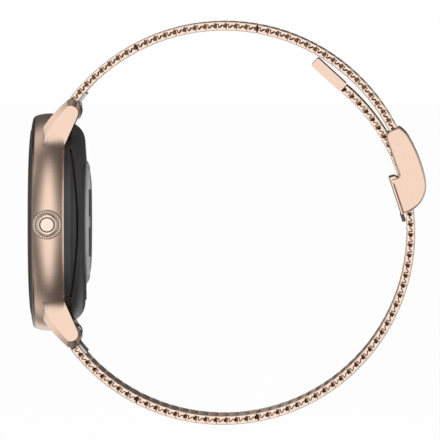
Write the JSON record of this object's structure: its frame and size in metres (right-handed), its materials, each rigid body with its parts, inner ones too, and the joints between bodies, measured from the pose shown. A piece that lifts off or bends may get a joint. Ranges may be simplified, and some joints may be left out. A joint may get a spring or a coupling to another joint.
{
  "type": "smartwatch",
  "caption": "Round smartwatch on a rose-gold milanese band closed by a sliding clasp, with a knurled push crown and a black sensor back.",
  "frame": {"origin": "centre of the sensor window's flat face, where the back rests on the wrist", "axes": "+Z towards 12 o'clock, -Y out of the dial, +X towards the crown"},
  "size_m": [0.0424, 0.0732, 0.074],
  "materials": {
    "satin_case": "satin rose gold",
    "polished_trim": "polished rose gold",
    "woven_band": "woven satin rose gold",
    "sleeve_steel": "dark satin steel",
    "spring_steel": "satin",
    "black_back": "matte",
    "frame_plastic": "matte",
    "front_glass": "clear",
    "panel": "gloss",
    "seal_rubber": "matte",
    "circuit": "satin",
    "shield_steel": "satin",
    "cell": "satin",
    "sensor_white": "gloss",
    "sensor_glass": "clear",
    "contact_gold": "polished"
  },
  "bodies": {
    "case": {"case_body": "satin_case", "bezel_ring": "polished_trim", "glass_gasket": "seal_rubber", "cover_glass": "front_glass", "display_panel": "panel", "mid_frame": "frame_plastic", "mainboard": "circuit", "board_shields": "shield_steel", "battery": "cell", "battery_pad": "seal_rubber", "vibration_motor": "shield_steel", "case_gasket": "seal_rubber", "back_cover": "black_back", "back_screws": "spring_steel", "charging_contacts": "contact_gold", "sensor_board": "circuit", "sensor_chips": "panel", "sensor_ring": "sensor_white", "sensor_window": "sensor_glass", "crown_tube": "spring_steel", "crown_bracket": "shield_steel", "crown_switch": "frame_plastic"},
    "crown_rotor": {"crown_encoder": "frame_plastic"},
    "crown": {"crown_stem": "spring_steel", "crown_seal": "seal_rubber", "crown_head": "polished_trim"},
    "upper_root": {"upper_end_sleeve": "sleeve_steel", "upper_spring_bar": "spring_steel", "upper_mesh_root": "woven_band"},
    "upper_release": {"upper_release_pin": "spring_steel"},
    "upper_middle": {"upper_mesh_middle": "woven_band"},
    "upper_end": {"upper_mesh_end": "woven_band", "upper_end_frame": "spring_steel"},
    "lower_root": {"lower_end_sleeve": "sleeve_steel", "lower_spring_bar": "spring_steel", "lower_mesh_root": "woven_band"},
    "lower_release": {"lower_release_pin": "spring_steel"},
    "lower_middle": {"lower_mesh_middle": "woven_band"},
    "lower_tail": {"lower_mesh_tail": "woven_band", "tail_cap": "satin_case"},
    "clasp": {"clasp_shell": "satin_case", "clasp_hook": "spring_steel", "lever_pin": "spring_steel"},
    "lever": {"clasp_lever": "sleeve_steel"}
  },
  "joints": [
    {"name": "crown_turn", "type": "hinge", "parent": "case", "child": "crown_rotor", "pos_m": [0.018, -0.00773, 0], "axis": [1, 0, 0], "continuous": true},
    {"name": "crown_press", "type": "slide", "parent": "crown_rotor", "child": "crown", "axis": [-1, 0, 0], "range_m": [0, 0.0004], "stiffness_N_per_m": 2000, "springref_m": -0.0005},
    {"name": "strap_open", "type": "hinge", "parent": "case", "child": "lower_root", "pos_m": [0, -0.0035, -0.0204], "axis": [-1, 0, 0], "range_deg": [0, 35]},
    {"name": "upper_swing", "type": "hinge", "parent": "case", "child": "upper_root", "pos_m": [0, -0.0035, 0.0204], "axis": [1, 0, 0], "range_deg": [0, 9.95]},
    {"name": "lower_flex_root", "type": "hinge", "parent": "lower_root", "child": "lower_middle", "pos_m": [0, 0.0085, -0.03237], "axis": [-1, 0, 0], "range_deg": [0, 9.25]},
    {"name": "lower_flex_tail", "type": "hinge", "parent": "lower_middle", "child": "lower_tail", "pos_m": [0, 0.03065, -0.03561], "axis": [-1, 0, 0], "range_deg": [0, 16.95]},
    {"name": "upper_flex_root", "type": "hinge", "parent": "upper_root", "child": "upper_middle", "pos_m": [0, 0.00841, 0.03223], "axis": [1, 0, 0], "range_deg": [0, 7.15]},
    {"name": "upper_flex_end", "type": "hinge", "parent": "upper_middle", "child": "upper_end", "pos_m": [0, 0.03055, 0.03564], "axis": [1, 0, 0], "range_deg": [0, 12.4]},
    {"name": "clasp_slide", "type": "hinge", "parent": "lower_tail", "child": "clasp", "pos_m": [0, 0.0243, -0.0017], "axis": [-1, 0, 0], "range_deg": [0, 55]},
    {"name": "clasp_lever", "type": "hinge", "parent": "clasp", "child": "lever", "pos_m": [0, 0.05564, 0.00767], "axis": [-1, 0, 0], "range_deg": [0, 80]},
    {"name": "upper_release", "type": "slide", "parent": "upper_root", "child": "upper_release", "axis": [-1, 0, 0], "range_m": [0, 0.00125], "stiffness_N_per_m": 600, "springref_m": -0.0005},
    {"name": "lower_release", "type": "slide", "parent": "lower_root", "child": "lower_release", "axis": [-1, 0, 0], "range_m": [0, 0.00125], "stiffness_N_per_m": 600, "springref_m": -0.0005}
  ],
  "couplings": [
    {"joint": "upper_swing", "follows": "strap_open", "ratio": 0.27},
    {"joint": "lower_flex_root", "follows": "strap_open", "ratio": 0.25},
    {"joint": "lower_flex_tail", "follows": "strap_open", "ratio": 0.47},
    {"joint": "upper_flex_root", "follows": "strap_open", "ratio": 0.19},
    {"joint": "upper_flex_end", "follows": "strap_open", "ratio": 0.34}
  ]
}
